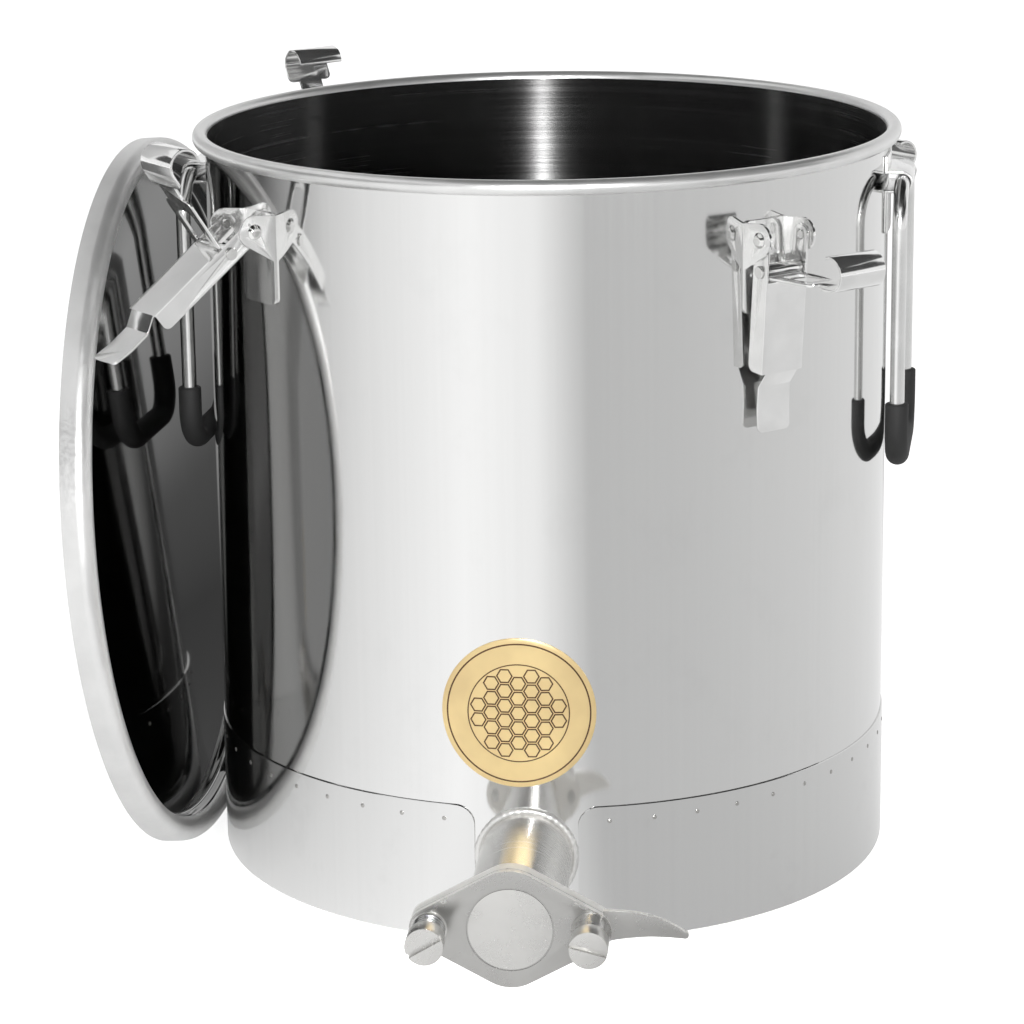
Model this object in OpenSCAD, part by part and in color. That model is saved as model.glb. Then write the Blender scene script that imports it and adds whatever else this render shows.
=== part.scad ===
// Honey settling tank: a stainless drum on a base skirt, with a squeeze gate valve in front,
// two drop handles, four toggle latches round the rim and its lid stood on the ground beside it.
// Millimetres, +Z up. The origin is on the tank's axis at ground level and the valve points to -Y.
// Angles round the tank are counted from the valve, positive towards +X.

/* [Tank] */
// Outer diameter of the tank wall
tank_d = 370; // [350:2:390]
// Height from the ground to the top of the rim
tank_h = 402; // [380:1:440]
// Thickness of the tank sheet
sheet_t = 1; // [0.8:0.1:1.4]
// Diameter of the rolled rim
rim_d = 8; // [6.5:0.5:9.5]
// Height of the tank bottom above the ground
floor_z = 14; // [8:1:15]
// Height of the upturned edge of the tank bottom
floor_edge = 7; // [4:0.5:7.5]

/* [Base skirt] */
// Height of the base skirt
skirt_h = 74; // [64:1:80]
// Thickness of the skirt sheet
skirt_t = 0.8; // [0.6:0.1:1.2]
// Width of the skirt's opening round the outlet
skirt_gap = 54; // [52:1:64]
// Radius of the upper corners of that opening
skirt_corner_r = 10; // [4:1:16]
// Number of spot welds along the skirt
weld_count = 46; // [20:1:60]
// Diameter of a spot weld
weld_d = 2.4; // [2:0.2:5]
// Height that a spot weld stands proud
weld_h = 0.3; // [0.2:0.1:0.6]
// Distance of the spot welds below the skirt's upper edge
weld_drop = 8; // [5:1:14]

/* [Outlet] */
// Height of the outlet's centre above the ground
outlet_z = 47; // [46:1:52]
// Outer diameter of the outlet pipe
pipe_d = 48.3; // [44:0.1:48.4]
// Wall thickness of the outlet pipe
pipe_t = 2; // [1.5:0.1:3]
// Length of the pipe from the tank wall to the valve flange
pipe_len = 88; // [60:1:120]
// Length of pipe that stands inside the tank
pipe_inside = 4; // [3:0.5:8]
// Thickness of the weld bead at the pipe's root
bead_d = 6; // [4:0.5:8]

/* [Gate valve] */
// Distance between the pivot screw and the clamp screw
valve_span = 80; // [76:1:90]
// Radius of the flange ends round the screws
valve_end_r = 10; // [9:0.5:12]
// Height of the flange and gate
valve_h = 61; // [60:1:66]
// Radius of the flange's upper and lower noses
valve_nose_r = 20; // [16:1:24]
// Thickness of the fixed flange
flange_t = 8; // [6:0.5:12]
// Thickness of the swinging gate
gate_t = 3.6; // [3:0.2:5]
// Gap between flange and gate that the seal bridges
gate_gap = 0.4; // [0.3:0.1:0.8]
// Width of the seal ring
seal_w = 2.6; // [2:0.2:2.8]
// Depth of the seal's groove
seal_depth = 2; // [1.5:0.1:3]
// Diameter of the ring line cut in the gate's face
ring_d = 42.7; // [30:0.5:46]
// Width of that ring line
ring_w = 0.7; // [0.4:0.1:1.2]
// Depth of that ring line
ring_depth = 0.4; // [0.2:0.1:0.8]
// Diameter of the valve screws
screw_d = 8; // [7:0.5:9]
// Diameter of the screw heads
head_d = 19; // [17:0.5:20]
// Length of the screw heads
head_h = 11; // [8:0.5:14]
// Width of the screwdriver slots
slot_w = 2.4; // [1.6:0.2:3.2]
// Depth of the screwdriver slots
slot_depth = 2.6; // [1.6:0.2:4]
// Distance from the gate's face to the underside of the screw heads
stand_off = 14; // [13:0.5:18]
// Turn of the slot in the pivot screw
pivot_slot_turn = 31; // [-90:1:90]
// Turn of the slot in the clamp screw
clamp_slot_turn = -15; // [-90:1:90]
// Wire diameter of the pivot spring
wire_d = 1.8; // [1.4:0.1:2]
// Outer diameter of the pivot spring
spring_d = 17; // [15.5:0.5:18]
// Number of turns of the pivot spring
spring_turns = 4; // [2:1:4]
// Thickness of the washer under the spring
washer_t = 1.2; // [0.8:0.1:1.6]
// Small diameter of the clamp cone, at the screw head
cone_tip_d = 14; // [12:0.5:17]
// Reach of the gate's lever beyond the clamp screw
lever_reach = 46; // [40:1:56]
// Height of the gate's lever where it leaves the gate
lever_root_h = 18; // [14:0.5:20]
// Height of the gate's lever at its tip
lever_tip_h = 3.4; // [2:0.2:6]
// Drop of the lever's tip below the screws
lever_tip_drop = 1.5; // [0:0.5:6]
// Thickness of the gate's lever
lever_t = 2.8; // [2:0.1:3]

/* [Badge] */
// Diameter of the round badge
badge_d = 80; // [60:1:90]
// Height of the badge's centre above the ground
badge_z = 125.5; // [122:0.5:150]
// Thickness of the badge
badge_t = 0.8; // [0.4:0.1:1.5]
// Angle of the badge from the valve
badge_turn = -1; // [-6:0.5:6]

/* [Handles] */
// Turn of the handles and latches round the tank from the valve
fittings_turn = -4; // [-8:0.5:8]
// Diameter of the handle bar
bar_d = 8; // [6:0.5:9]
// Width of a handle between the centres of its legs
bail_w = 84; // [84:1:110]
// Drop of a handle from its pivot to the centre of its grip
bail_drop = 146.5; // [110:0.5:160]
// Bend radius of the handle's upper corners
bail_top_r = 21; // [16:1:21]
// Bend radius of the handle's lower corners
bail_low_r = 18; // [14:1:26]
// Distance of the handle's pivot below the rim's top
bail_below = 28; // [24:1:34]
// Distance of the handle's pivot from the tank wall
bail_out = 8.5; // [8:0.5:10]
// Outer diameter of the grip sleeve
grip_d = 12.5; // [11:0.5:13]
// Height of the grip sleeve's ends above the grip's centre
grip_rise = 31.5; // [22:0.5:40]
// Width of a handle's bracket
bracket_w = 40; // [30:1:40]
// Thickness of the bracket sheet
bracket_t = 1.5; // [1:0.1:2]
// Height of the bracket's flat above its saddle
bracket_up = 8; // [5:0.5:8]
// Height of the bracket's flat below its saddle
bracket_down = 22; // [12:1:30]

/* [Latches] */
// Distance of a latch's pivot below the rim's top
latch_below = 35.5; // [34:0.5:44]
// Distance of a latch's pivot from the tank wall
latch_out = 12; // [11:0.5:14]
// Overall width of a latch across its ears
latch_w = 30; // [26:1:34]
// Thickness of the ears and base plate
ear_t = 1.5; // [1.2:0.1:1.8]
// Radius of an ear's rounded end
ear_r = 8.5; // [7:0.5:9.5]
// Height of an ear below the pivot
ear_drop = 17; // [14:0.5:20]
// Length of the base plate below the ears
base_tail = 23; // [12:1:30]
// Diameter of the pivot rivets
rivet_d = 5; // [4:0.5:6]
// Sheet thickness of the lever
lever_sheet = 1.2; // [1:0.1:1.5]
// Depth of the lever channel
channel_depth = 11; // [10:0.5:12]
// Length of the lever channel below its pivot
channel_len = 69; // [60:1:80]
// Width of the thumb tab
tab_w = 21; // [14:1:22]
// Length of the thumb tab
tab_len = 24; // [16:1:30]
// Step of the thumb tab towards the wall
tab_step = 5; // [3:0.5:7]
// Distance of the hook's pin from the lever's pivot
pin_drop = 16.5; // [15:0.5:18]
// Diameter of the hook's pin
pin_d = 4; // [3:0.5:4.5]
// Length of the hook's strap from its pin to the middle of its curl
strap_len = 54; // [52:1:60]
// Thickness of the hook's sheet
strap_t = 1.5; // [1.2:0.1:1.8]
// Outer radius of the hook's curl
curl_r = 9; // [8.5:0.5:10]
// Width of the hook's curl
curl_w = 29; // [24:1:34]
// Sweep of the hook's curl
curl_sweep = 205; // [150:5:210]
// Width of the strap's neck
neck_w = 15; // [10:1:18]
// Width of the strap's window
window_w = 13; // [8:1:14]
// Length of the strap's window
window_len = 22; // [16:1:24]
// Lever angle from hanging and hook angle from upright: front left, front right, back right, back left
lever_rest = [54, -4, -4, 60];
hook_rest = [34, 88, 88, 27];

/* [Lid] */
// Height of the lid from its lower edge to its crown
lid_h = 15; // [14:0.5:20]
// Thickness of the lid sheet
lid_t = 1; // [0.8:0.1:1.4]
// Clearance of the lid's skirt outside the rim
lid_rim_gap = 3.3; // [2:0.1:4]
// Clearance of the lid's well inside the mouth
lid_well_gap = 0.8; // [0.5:0.1:1.5]
// Depth of the lid's well below its crown
lid_well = 12; // [9:0.5:13]
// Angle round the tank at which the lid stands
lid_turn = -94.6; // [-100:0.1:-92]
// Distance of the lid's middle from that line, towards the front
lid_shift = 28; // [20:1:45]
// Lean of the stood lid away from the tank
lid_lean = 3.5; // [2:0.1:5]
// Gap between the stood lid and the base skirt at the ground
lid_stand_gap = 0.6; // [0.5:0.1:4]

/* [Fits] */
// Gap between pieces that are welded, pressed or screwed together
fixed_gap = 0.03; // [0.02:0.01:0.05]
// Gap round the wire that the rim is rolled over
wire_gap = 0.35; // [0.3:0.05:0.5]
// Radial clearance of a pin that turns in its hole
running_gap = 0.05; // [0.03:0.01:0.08]
// Clearance between sheets that move past each other
sheet_gap = 0.3; // [0.3:0.05:0.4]

/* [Hidden] */
$fn = 96;
LATCH_NAMES = ["front_left", "front_right", "back_right", "back_left"];

steel = "gainsboro";
bright_steel = "silver";

// Tank
wall_r = tank_d / 2;
mouth_r = wall_r - sheet_t;
rim_bite = 0.3;
rim_c = mouth_r - rim_bite + rim_d / 2;
rim_z = tank_h - rim_d / 2;
rim_out_r = rim_c + rim_d / 2;
skirt_r = wall_r + fixed_gap + skirt_t;
weld_edge = 6;

// Valve, along the outlet's axis; distances are from the tank's axis
flange_back = wall_r + pipe_len;
flange_front = flange_back + flange_t;
gate_back = flange_front + gate_gap;
gate_front = gate_back + gate_t;
gate_play = 0.1;
head_under = gate_front + stand_off;
screw_x = valve_span / 2;
nose_lift = valve_h / 2 - valve_nose_r;
seal_in = pipe_d / 2 + 1;
valve_outline = [
    [screw_x, 0, valve_end_r], [0, nose_lift, valve_nose_r],
    [-screw_x, 0, valve_end_r], [0, -nose_lift, valve_nose_r]
];
slot_clear = 0.3;
slot_arc = 30;
cone_d = 2 * valve_end_r;

// Handles
bail_z = tank_h - bail_below;
bail_gap = 0.35;
bracket_edge = wall_r + fixed_gap;

// Latches
latch_z = tank_h - latch_below;
ear_inner = latch_w / 2 - ear_t;
lever_half = ear_inner - sheet_gap;
strap_half = lever_half - lever_sheet - sheet_gap;
latch_angles = [for (k = [-1, 1, 3, 5]) fittings_turn + 45 * k];
base_top = 8;
base_corner = 4;
rivet_head_d = 1.7 * rivet_d;
rivet_head_h = 1.7;
pin_head_d = 1.6 * pin_d;
pin_head_h = 1.2;
eye_r = pin_d / 2 + running_gap + 1.7;
web_start = pin_drop + eye_r + 1;
corner_r = 4;
tab_slope = 8;
tab_corner = 3;
tab_flare = 1.5;

// Lid, in its own frame: lower edge at z = 0 and crown up
lid_r = rim_out_r + lid_rim_gap + lid_t;
well_r = mouth_r - rim_bite - lid_well_gap;
crown_r = (lid_r - well_r + lid_t) / 2;
crown_c = (lid_r + well_r - lid_t) / 2;
crown_z = lid_h - crown_r;
lid_floor = lid_h - lid_well;
gasket_z = crown_z + 1;
lid_back = skirt_r + lid_stand_gap + lid_h / cos(lid_lean) + lid_r * sin(lid_lean);

// Turns what is built at the front to an angle round the tank
module at_angle(a) {
    rotate([0, 0, a]) children();
}

// A plate cut to a front view (right, up), standing outward from a distance off the tank's axis
module front_plate(from, thick) {
    translate([0, -from, 0]) rotate([90, 0, 0]) linear_extrude(thick) children();
}

// A plate cut to a side view (outward, up), centred on the radial plane
module side_plate(width) {
    rotate([90, 0, -90]) linear_extrude(width, center = true) children();
}

// A round bar pointing outward from a distance off the tank's axis
module bar_out(d, from, len) {
    translate([0, -from, 0]) rotate([90, 0, 0]) cylinder(d = d, h = len);
}

// A round bar across the radial plane
module bar_across(d, len) {
    rotate([0, 90, 0]) cylinder(d = d, h = len, center = true);
}

// The part of a thin sheet laid on the tank wall that a front view cuts out
module wall_patch(t) {
    intersection() {
        front_plate(wall_r / 2, wall_r) children();
        difference() {
            cylinder(r = wall_r + fixed_gap + t, h = tank_h);
            translate([0, 0, -1]) cylinder(r = wall_r + fixed_gap, h = tank_h + 2);
        }
    }
}

// Everything nearer the axis than the outside of the tank wall
module wall_core() {
    translate([0, 0, -1]) cylinder(r = wall_r + fixed_gap, h = tank_h + 2, $fn = 4 * $fn);
}

// Direction that the straight edge from circle a to circle b faces, for circles in turning order
function edge_angle(a, b) =
    let (d = [b[0] - a[0], b[1] - a[1]])
    atan2(d[1], d[0]) - acos((a[2] - b[2]) / norm(d));

// Points of the band drawn tight round a list of circles [x, y, r] in turning order
function band(circles, step = 7.5) = [
    for (i = [0 : len(circles) - 1])
    let (
        n = len(circles),
        c = circles[i],
        a0 = edge_angle(circles[(i + n - 1) % n], c),
        a1 = edge_angle(c, circles[(i + 1) % n]),
        turn = (a1 - a0 + 720) % 360,
        k = max(1, ceil(turn / step))
    )
    for (j = [0 : k]) let (a = a0 + turn * j / k) [c[0] + c[2] * cos(a), c[1] + c[2] * sin(a)]
];

// Corner circles of a box with rounded corners
function box_circles(x0, y0, x1, y1, r) = [
    [x1 - r, y0 + r, r], [x1 - r, y1 - r, r], [x0 + r, y1 - r, r], [x0 + r, y0 + r, r]
];

// Tank

module tank_wall() color(steel) difference() {
    rotate_extrude() union() {
        translate([mouth_r, floor_z]) square([sheet_t, rim_z - floor_z]);
        translate([rim_c, rim_z]) difference() {
            circle(d = rim_d);
            circle(d = rim_d - 2 * sheet_t);
        }
    }
    translate([0, 0, outlet_z]) bar_out(pipe_d + 2 * fixed_gap, wall_r / 2, wall_r);
}

module rim_wire() color(bright_steel) {
    translate([0, 0, rim_z]) rotate_extrude() translate([rim_c, 0])
        circle(d = rim_d - 2 * sheet_t - 2 * wire_gap);
}

module tank_bottom() color(steel) {
    edge_r = mouth_r - fixed_gap;
    rotate_extrude() polygon([
        [0, floor_z], [edge_r, floor_z], [edge_r, floor_z + floor_edge],
        [edge_r - sheet_t, floor_z + floor_edge], [edge_r - sheet_t, floor_z + sheet_t],
        [0, floor_z + sheet_t]
    ]);
}

// Front view of the skirt's opening, which widens upward round the skirt's rounded corners
module skirt_opening() {
    steps = 10;
    half = skirt_gap / 2;
    r = skirt_corner_r;
    lift = 0.02;
    function corner(s, i) = let (a = 90 * i / steps)
        [s * (half + r - r * cos(a)), skirt_h - r + lift + r * sin(a)];
    polygon(concat(
        [[-half, -1]],
        [for (i = [0 : steps]) corner(-1, i)],
        [[-half - r, skirt_h + 1], [half + r, skirt_h + 1]],
        [for (i = [steps : -1 : 0]) corner(1, i)],
        [[half, -1]]
    ));
}

module base_skirt() color(steel) difference() {
    cylinder(r = skirt_r, h = skirt_h);
    translate([0, 0, -1]) cylinder(r = skirt_r - skirt_t, h = skirt_h + 2);
    front_plate(wall_r / 2, wall_r) skirt_opening();
}

module skirt_spot_welds() color(bright_steel) {
    first = asin((skirt_gap / 2 + skirt_corner_r + weld_edge) / skirt_r);
    for (i = [0 : weld_count - 1]) {
        at_angle(first + (360 - 2 * first) * i / (weld_count - 1))
            translate([0, 0, skirt_h - weld_drop]) bar_out(weld_d, skirt_r + fixed_gap, weld_h);
    }
}

module outlet_pipe() color(bright_steel) translate([0, 0, outlet_z]) {
    start = wall_r - pipe_inside;
    difference() {
        bar_out(pipe_d, start, flange_front - start);
        bar_out(pipe_d - 2 * pipe_t, start - 1, flange_front - start + 2);
    }
}

module outlet_weld() color(bright_steel) difference() {
    translate([0, -wall_r, outlet_z]) rotate([90, 0, 0])
        rotate_extrude() translate([pipe_d / 2, 0]) circle(d = bead_d);
    wall_core();
    translate([0, 0, outlet_z]) bar_out(pipe_d + 2 * fixed_gap, wall_r / 2, wall_r);
}

// Gate valve

module valve_flange() color(bright_steel) translate([0, 0, outlet_z]) difference() {
    front_plate(flange_back, flange_t) polygon(band(valve_outline));
    bar_out(pipe_d + 2 * fixed_gap, flange_back - 1, flange_t + 2);
    for (s = [-1, 1]) translate([s * screw_x, 0, 0])
        bar_out(screw_d + 2 * fixed_gap, flange_back - 1, flange_t + 2);
    difference() {
        bar_out(2 * (seal_in + seal_w + fixed_gap), flange_front - seal_depth, seal_depth + 1);
        bar_out(2 * (seal_in - fixed_gap), flange_front - seal_depth - 1, seal_depth + 3);
    }
}

module gate_seal() color("dimgray") translate([0, 0, outlet_z]) {
    depth = seal_depth - fixed_gap + gate_gap - gate_play;
    from = flange_front - seal_depth + fixed_gap;
    difference() {
        bar_out(2 * (seal_in + seal_w), from, depth);
        bar_out(2 * seal_in, from - 1, depth + 2);
    }
}

// Front view of the gate's lever: a horn with a bowed back that thins towards its tip
module lever_horn() {
    steps = 14;
    root_x = screw_x + screw_d / 2 + slot_clear + 1.5;
    tip_x = screw_x + lever_reach;
    root_top = lever_root_h / 2 + 1.5;
    root_low = root_top - lever_root_h;
    tip_mid = -lever_tip_drop;
    hollow = 1.4;
    function edge(k, root, tip, bow) = root + (tip - root) * pow(k, bow);
    top = [for (i = [0 : steps]) let (k = i / steps)
        [root_x + (tip_x - root_x) * k, edge(k, root_top, tip_mid + lever_tip_h / 2, 2.8)]];
    low = [for (i = [steps : -1 : 0]) let (k = i / steps, lift = hollow * sin(180 * k))
        [root_x + (tip_x - root_x) * k, edge(k, root_low, tip_mid - lever_tip_h / 2, 0.3) + lift]];
    polygon(concat(top, low));
    translate([tip_x, tip_mid]) circle(d = lever_tip_h);
}

// Front view of the slot that lets the gate swing up off the clamp screw
module gate_slot() {
    steps = 12;
    half = screw_d / 2 + slot_clear;
    translate([screw_x, 0]) circle(r = half);
    inner = [for (i = [0 : steps]) let (a = -slot_arc * i / steps)
        [-screw_x + (valve_span - half) * cos(a), (valve_span - half) * sin(a)]];
    outer = [for (i = [steps : -1 : 0]) let (a = -slot_arc * i / steps)
        [-screw_x + (valve_span + half) * cos(a), (valve_span + half) * sin(a)]];
    polygon(concat(inner, outer));
}

module gate_plate() color(bright_steel) translate([0, 0, outlet_z]) difference() {
    union() {
        front_plate(gate_back, gate_t) polygon(band(valve_outline));
        front_plate(gate_back, lever_t) lever_horn();
    }
    front_plate(gate_back - 1, gate_t + 2) gate_slot();
    translate([-screw_x, 0, 0]) bar_out(screw_d + 2 * running_gap, gate_back - 1, gate_t + 2);
    difference() {
        bar_out(ring_d + ring_w, gate_front - ring_depth, ring_depth + 1);
        bar_out(ring_d - ring_w, gate_front - ring_depth - 1, ring_depth + 3);
    }
}

// A slotted cylinder-head screw from the back of the flange to its head
module valve_screw(slot_turn) {
    difference() {
        union() {
            bar_out(screw_d, flange_back, head_under - flange_back);
            bar_out(head_d, head_under, head_h);
        }
        rotate([0, slot_turn, 0]) translate([0, -(head_under + head_h), 0])
            cube([head_d + 2, 2 * slot_depth, slot_w], center = true);
    }
}

module pivot_screw() color(bright_steel) translate([-screw_x, 0, outlet_z]) valve_screw(-pivot_slot_turn);

module pivot_washer() color(bright_steel) translate([-screw_x, 0, outlet_z]) difference() {
    bar_out(spring_d + 1, gate_front + gate_play, washer_t);
    bar_out(screw_d + 2 * fixed_gap, gate_front, washer_t + 1);
}

// Centre line of the spring: turns of a helix, with a straight end along the wire at each end
spring_r = (spring_d - wire_d) / 2;
spring_from = gate_front + gate_play + washer_t;
spring_room = head_under - spring_from;
spring_rise = spring_room - wire_d - 2 * gate_play;
rings_per_turn = 8;
spring_steps = spring_turns * rings_per_turn;
spring_slope = spring_rise / (360 * spring_turns);
function spring_point(a) =
    [spring_r * cos(a), spring_r * sin(a), wire_d / 2 + gate_play + spring_slope * a];
function spring_along(a) =
    let (v = [-spring_r * sin(a), spring_r * cos(a), spring_slope * 180 / PI])
    v / norm(v);
spring_line = [
    [spring_point(0) - wire_d * [spring_along(0)[0], spring_along(0)[1], 0], 0],
    for (i = [0 : spring_steps]) let (a = 360 * i / rings_per_turn) [spring_point(a), a],
    let (a = 360 * spring_turns) [spring_point(a) + wire_d * [spring_along(a)[0], spring_along(a)[1], 0], a]
];
spring_gap = min([
    for (i = [0 : len(spring_line) - 1], j = [i + rings_per_turn / 2 : 1 : len(spring_line) - 1])
    norm(spring_line[i][0] - spring_line[j][0]) - wire_d
]);
echo(least_gap_between_spring_turns = spring_gap);

// A tube of wire along a centre line of [point, angle] pairs
module wire_tube(line, d) {
    sides = 6;
    n = len(line);
    points = [
        for (p = line, k = [0 : sides - 1])
        let (
            out = [cos(p[1]), sin(p[1]), 0],
            side = cross(spring_along(p[1]), out),
            a = 360 * k / sides
        )
        p[0] + d / 2 * (cos(a) * out + sin(a) * side)
    ];
    function at(i, k) = i * sides + k % sides;
    walls = [
        for (i = [0 : n - 2], k = [0 : sides - 1], half = [0, 1])
        half == 0 ? [at(i, k), at(i, k + 1), at(i + 1, k)] : [at(i, k + 1), at(i + 1, k + 1), at(i + 1, k)]
    ];
    first = [for (k = [1 : sides - 2]) [at(0, 0), at(0, k + 1), at(0, k)]];
    last = [for (k = [1 : sides - 2]) [at(n - 1, 0), at(n - 1, k), at(n - 1, k + 1)]];
    polyhedron(points, concat(walls, first, last));
}

module pivot_spring() color(bright_steel) {
    translate([-screw_x, -spring_from, outlet_z]) rotate([90, 0, 0]) wire_tube(spring_line, wire_d);
}

module clamp_screw() color(bright_steel) translate([screw_x, 0, outlet_z]) valve_screw(-clamp_slot_turn);

module clamp_cone() color(bright_steel) {
    h = stand_off - gate_play - fixed_gap;
    rim_h = 2;
    translate([screw_x, -gate_front - gate_play, outlet_z]) rotate([90, 0, 0]) difference() {
        union() {
            cylinder(d = cone_d, h = rim_h);
            translate([0, 0, rim_h]) cylinder(d1 = cone_d, d2 = cone_tip_d, h = h - rim_h);
        }
        translate([0, 0, -1]) cylinder(d = screw_d + 2 * fixed_gap, h = h + 2);
    }
}

module badge() color("goldenrod") {
    at_angle(badge_turn) wall_patch(badge_t) translate([0, badge_z]) circle(d = badge_d);
}

// Handles

// Side view of the saddle that holds a handle's bar: a half round with straight legs to the wall
module saddle_profile(r) {
    circle(r = r);
    translate([-bail_out - wall_r / 8, -r]) square([bail_out + wall_r / 8, 2 * r]);
}

module handle_bracket() color(bright_steel) {
    inner = bar_d / 2 + bail_gap;
    outer = inner + bracket_t;
    wall_patch(bracket_t) translate([-bracket_w / 2, bail_z + inner])
        square([bracket_w, bracket_t + bracket_up]);
    wall_patch(bracket_t) polygon(band(box_circles(
        -bracket_w / 2, bail_z - outer - bracket_down, bracket_w / 2, bail_z - inner, bracket_t
    )));
    difference() {
        translate([0, -wall_r - bail_out, bail_z]) difference() {
            side_plate(bracket_w) saddle_profile(outer);
            side_plate(bracket_w + 2) saddle_profile(inner);
        }
        wall_core();
    }
}

// A closed handle loop of round bar, hanging from its pivot bar at the origin
module bail_loop(d) {
    half = bail_w / 2;
    top_half = half - bail_top_r;
    low_half = half - bail_low_r;
    bar_across(d, 2 * top_half);
    translate([0, 0, -bail_drop]) bar_across(d, 2 * low_half);
    for (s = [0, 1]) mirror([s, 0, 0]) {
        translate([half, 0, bail_low_r - bail_drop])
            cylinder(d = d, h = bail_drop - bail_top_r - bail_low_r);
        translate([top_half, 0, -bail_top_r]) rotate([90, 0, 0])
            rotate_extrude(angle = 90) translate([bail_top_r, 0]) circle(d = d);
        translate([low_half, 0, bail_low_r - bail_drop]) rotate([90, 0, 0])
            rotate_extrude(angle = -90) translate([bail_low_r, 0]) circle(d = d);
    }
}

module at_bail() {
    translate([0, -wall_r - bail_out, bail_z]) children();
}

module handle_bail() color(bright_steel) at_bail() bail_loop(bar_d);

module handle_grip() color("#222222") at_bail() difference() {
    bail_loop(grip_d);
    bail_loop(bar_d + 2 * fixed_gap);
    translate([-bail_w, -bail_w, grip_rise - bail_drop]) cube([2 * bail_w, 2 * bail_w, 2 * bail_drop]);
}

// Latches

module at_pivot() {
    translate([0, -wall_r - latch_out, latch_z]) children();
}

// Puts the lever, drawn hanging from its pivot, at its swung-out angle
module at_lever(i) {
    at_angle(latch_angles[i]) at_pivot() rotate([-lever_rest[i], 0, 0]) children();
}

// Puts the hook, drawn standing on its pin, at its own angle
module at_hook(i) {
    a = lever_rest[i];
    at_angle(latch_angles[i]) at_pivot()
        translate([0, -pin_drop * sin(a), -pin_drop * cos(a)]) rotate([hook_rest[i], 0, 0]) children();
}

module latch_base(i) color(bright_steel) at_angle(latch_angles[i]) {
    half = latch_w / 2;
    wall_patch(ear_t) polygon(band(box_circles(
        -half, latch_z - ear_drop - base_tail, half, latch_z + base_top, base_corner
    )));
    foot = 1;
    difference() {
        for (s = [-1, 1]) at_pivot() translate([s * (half - ear_t / 2), 0, 0]) difference() {
            side_plate(ear_t) polygon(band([
                [0, 0, ear_r], [-latch_out, base_top - 2 * foot, foot], [-latch_out, foot - ear_drop, foot]
            ]));
            bar_across(rivet_d + 2 * fixed_gap, latch_w);
        }
        wall_core();
    }
}

module latch_rivets(i) color(bright_steel) at_angle(latch_angles[i]) at_pivot() {
    inner = lever_half - lever_sheet;
    shank = latch_w / 2 + fixed_gap - inner;
    for (s = [0, 1]) mirror([s, 0, 0]) translate([inner, 0, 0]) rotate([0, 90, 0]) {
        cylinder(d = rivet_d, h = shank);
        translate([0, 0, shank]) cylinder(d1 = rivet_head_d, d2 = rivet_d, h = rivet_head_h);
    }
}

// The lever hanging straight down: two flanges, the web between them and the stepped thumb tab
module latch_lever(i) color(bright_steel) at_lever(i) {
    half_depth = channel_depth / 2;
    sheet = lever_sheet;
    edge_r = 0.6;
    tab_top = -channel_len - tab_slope;
    tab_end = tab_top - tab_len;
    tab_out = half_depth - tab_step;
    difference() {
        union() {
            for (s = [-1, 1]) translate([s * (lever_half - sheet / 2), 0, 0])
                side_plate(sheet) polygon(band([
                    [0, 0, half_depth], [corner_r - half_depth, corner_r - channel_len, corner_r],
                    [half_depth - edge_r, edge_r - channel_len, edge_r]
                ]));
            side_plate(2 * lever_half)
                translate([half_depth - sheet, -channel_len]) square([sheet, channel_len - web_start]);
            intersection() {
                side_plate(tab_w) polygon([
                    [half_depth, -channel_len], [tab_out, tab_top], [tab_out, tab_end + tab_len / 2],
                    [tab_out + tab_flare, tab_end], [tab_out + tab_flare - sheet, tab_end],
                    [tab_out - sheet, tab_end + tab_len / 2], [tab_out - sheet, tab_top - sheet / 2],
                    [half_depth - sheet, -channel_len - sheet / 2], [half_depth - sheet, 1 - channel_len],
                    [half_depth, 1 - channel_len]
                ]);
                front_plate(-2 * channel_depth, 4 * channel_depth) polygon(band(box_circles(
                    -tab_w / 2, tab_end, tab_w / 2, 2 * tab_corner - channel_len, tab_corner
                )));
            }
        }
        bar_across(rivet_d + 2 * running_gap, latch_w);
        translate([0, 0, -pin_drop]) bar_across(pin_d + 2 * fixed_gap, latch_w);
    }
}

module latch_hook_pin(i) color(bright_steel) at_lever(i) translate([0, 0, -pin_drop]) {
    length = 2 * lever_half + 2 * fixed_gap;
    bar_across(pin_d, length);
    for (s = [-1, 1]) translate([s * (length + pin_head_h) / 2, 0, 0]) bar_across(pin_head_d, pin_head_h);
}

// Front view of the hook's strap from its pin up: a window, a neck and a wide head
module strap_outline() {
    body_top = eye_r + window_len + 12;
    head_low = strap_len - 8;
    difference() {
        union() {
            translate([-strap_half, 0]) square([2 * strap_half, body_top - 6]);
            polygon(band(box_circles(-strap_half, 2, strap_half, body_top, 5)));
            translate([-neck_w / 2, body_top - 4]) square([neck_w, strap_len - body_top + 4]);
            polygon(band(box_circles(-curl_w / 2, head_low, curl_w / 2, strap_len + 6, 3)));
        }
        polygon(band(box_circles(-window_w / 2, eye_r + 4, window_w / 2, eye_r + 4 + window_len, 4)));
        translate([-curl_w, strap_len]) square([2 * curl_w, 2 * curl_r]);
    }
}

// Side view of the curl: an arc from the strap's top over towards the tank
module curl_profile() {
    steps = 32;
    function arc(r, i) = let (a = curl_sweep * i / steps) [r * cos(a), r * sin(a)];
    outer = [for (i = [0 : steps]) arc(curl_r, i)];
    inner = [for (i = [steps : -1 : 0]) arc(curl_r - strap_t, i)];
    polygon(concat(outer, inner));
}

module latch_hook(i) color(bright_steel) at_hook(i) difference() {
    union() {
        bar_across(2 * eye_r, 2 * strap_half);
        front_plate(eye_r - strap_t, strap_t) strap_outline();
        translate([0, curl_r - eye_r, strap_len]) side_plate(curl_w) curl_profile();
    }
    bar_across(pin_d + 2 * running_gap, latch_w);
}

// Lid

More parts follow.
